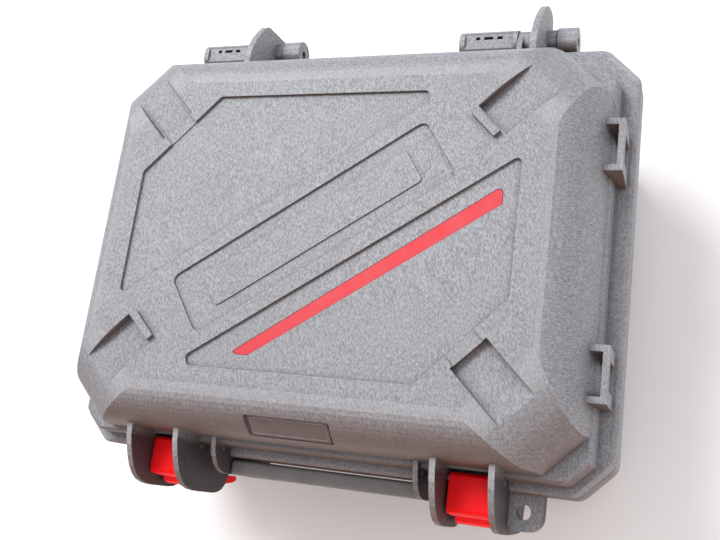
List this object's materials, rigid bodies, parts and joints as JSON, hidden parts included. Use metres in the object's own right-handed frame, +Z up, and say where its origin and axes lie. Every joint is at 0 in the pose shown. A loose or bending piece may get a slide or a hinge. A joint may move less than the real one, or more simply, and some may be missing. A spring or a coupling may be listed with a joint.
{
  "type": "insulation resistance tester",
  "caption": "Portable insulation tester in a moulded, latched case: hinged domed lid, folding handle, control panel with display, selector and test button.",
  "frame": {"origin": "middle of the overall box in plan, at the underside of the feet", "axes": "+X along the width of the case, +Y towards the hinges, +Z up; the latches and handle face -Y"},
  "size_m": [0.315, 0.2982, 0.181],
  "materials": {
    "case": "speckled, fine grain",
    "red_plastic": "satin",
    "stripe": "satin",
    "label": "satin, blank",
    "steel": "turned",
    "can": "sheet",
    "grip": "soft touch",
    "seal": "matt",
    "black_plastic": "fine grain",
    "guard_blue": "satin",
    "panel_plastic": "fine grain",
    "overlay": "printed film",
    "white_plastic": "satin",
    "key_plastic": "satin",
    "display_glass": "clear",
    "display": "reflective display",
    "board": "solder mask",
    "brass": "bright",
    "potting": "potted",
    "cells": "heat-shrink sleeve"
  },
  "bodies": {
    "base": {"base_shell": "case", "rim_gasket": "seal", "hinge_pin_left": "steel", "hinge_pin_right": "steel", "handle_pins": "steel", "feet": "seal", "relief_valve": "black_plastic", "panel": "panel_plastic", "panel_overlay": "overlay", "panel_screws": "steel", "lcd_bezel": "black_plastic", "lcd_window": "display_glass", "lcd_module": "display", "display_board": "board", "selector_switch": "black_plastic", "test_collar": "black_plastic", "test_switch": "black_plastic", "key_board": "board", "terminal_block": "black_plastic", "terminal_pos": "red_plastic", "terminal_guard": "guard_blue", "terminal_neg": "black_plastic", "mains_inlet": "black_plastic", "inlet_pins": "brass", "usb_socket": "steel", "main_board": "board", "board_pillars": "steel", "hv_module": "potting", "power_supply": "can", "battery_pack": "cells", "battery_strap": "steel", "bay_screws": "steel"},
    "lid": {"lid_shell": "case", "stripe_inlay": "stripe", "label_plate": "label", "latch_pins": "steel"},
    "latch_left": {"latch_left": "red_plastic"},
    "latch_right": {"latch_right": "red_plastic"},
    "handle": {"handle_grip": "grip", "handle_arms": "case"},
    "knob": {"selector_knob": "black_plastic", "knob_pointer": "white_plastic"},
    "test_button": {"test_button": "red_plastic"},
    "usb_cover": {"usb_cover": "seal"},
    "key_up": {"key_up": "key_plastic"},
    "key_down": {"key_down": "key_plastic"},
    "key_left": {"key_left": "key_plastic"},
    "key_right": {"key_right": "key_plastic"},
    "key_ok": {"key_ok": "key_plastic"},
    "key_save": {"key_save": "key_plastic"},
    "key_light": {"key_light": "key_plastic"}
  },
  "joints": [
    {"name": "lid_hinge", "type": "hinge", "parent": "base", "child": "lid", "pos_m": [0, 0.1291, 0.1105], "axis": [-1, 0, 0], "range_deg": [0, 105]},
    {"name": "latch_left_pivot", "type": "hinge", "parent": "lid", "child": "latch_left", "pos_m": [-0.085, -0.1247, 0.1305], "axis": [-1, 0, 0], "range_deg": [0, 85]},
    {"name": "latch_right_pivot", "type": "hinge", "parent": "lid", "child": "latch_right", "pos_m": [0.0893, -0.1247, 0.1305], "axis": [-1, 0, 0], "range_deg": [0, 85]},
    {"name": "handle_fold", "type": "hinge", "parent": "base", "child": "handle", "pos_m": [0, -0.13315, 0.076], "axis": [1, 0, 0], "range_deg": [0, 100]},
    {"name": "selector_turn", "type": "hinge", "parent": "base", "child": "knob", "pos_m": [0.078, 0.0331, 0.099], "axis": [0, 0, 1], "range_deg": [-150, 150]},
    {"name": "test_press", "type": "slide", "parent": "base", "child": "test_button", "axis": [0, 0, -1], "range_m": [0, 0.003], "stiffness_N_per_m": 1200, "springref_m": -0.001},
    {"name": "key_up_press", "type": "slide", "parent": "base", "child": "key_up", "axis": [0, 0, -1], "range_m": [0, 0.0012], "stiffness_N_per_m": 900, "springref_m": -0.0006},
    {"name": "key_down_press", "type": "slide", "parent": "base", "child": "key_down", "axis": [0, 0, -1], "range_m": [0, 0.0012], "stiffness_N_per_m": 900, "springref_m": -0.0006},
    {"name": "key_left_press", "type": "slide", "parent": "base", "child": "key_left", "axis": [0, 0, -1], "range_m": [0, 0.0012], "stiffness_N_per_m": 900, "springref_m": -0.0006},
    {"name": "key_right_press", "type": "slide", "parent": "base", "child": "key_right", "axis": [0, 0, -1], "range_m": [0, 0.0012], "stiffness_N_per_m": 900, "springref_m": -0.0006},
    {"name": "key_ok_press", "type": "slide", "parent": "base", "child": "key_ok", "axis": [0, 0, -1], "range_m": [0, 0.0012], "stiffness_N_per_m": 900, "springref_m": -0.0006},
    {"name": "key_save_press", "type": "slide", "parent": "base", "child": "key_save", "axis": [0, 0, -1], "range_m": [0, 0.0012], "stiffness_N_per_m": 900, "springref_m": -0.0006},
    {"name": "key_light_press", "type": "slide", "parent": "base", "child": "key_light", "axis": [0, 0, -1], "range_m": [0, 0.0012], "stiffness_N_per_m": 900, "springref_m": -0.0006},
    {"name": "usb_cover_hinge", "type": "hinge", "parent": "base", "child": "usb_cover", "pos_m": [-0.118, 0.0045, 0.1009], "axis": [-1, 0, 0], "range_deg": [0, 110]}
  ]
}
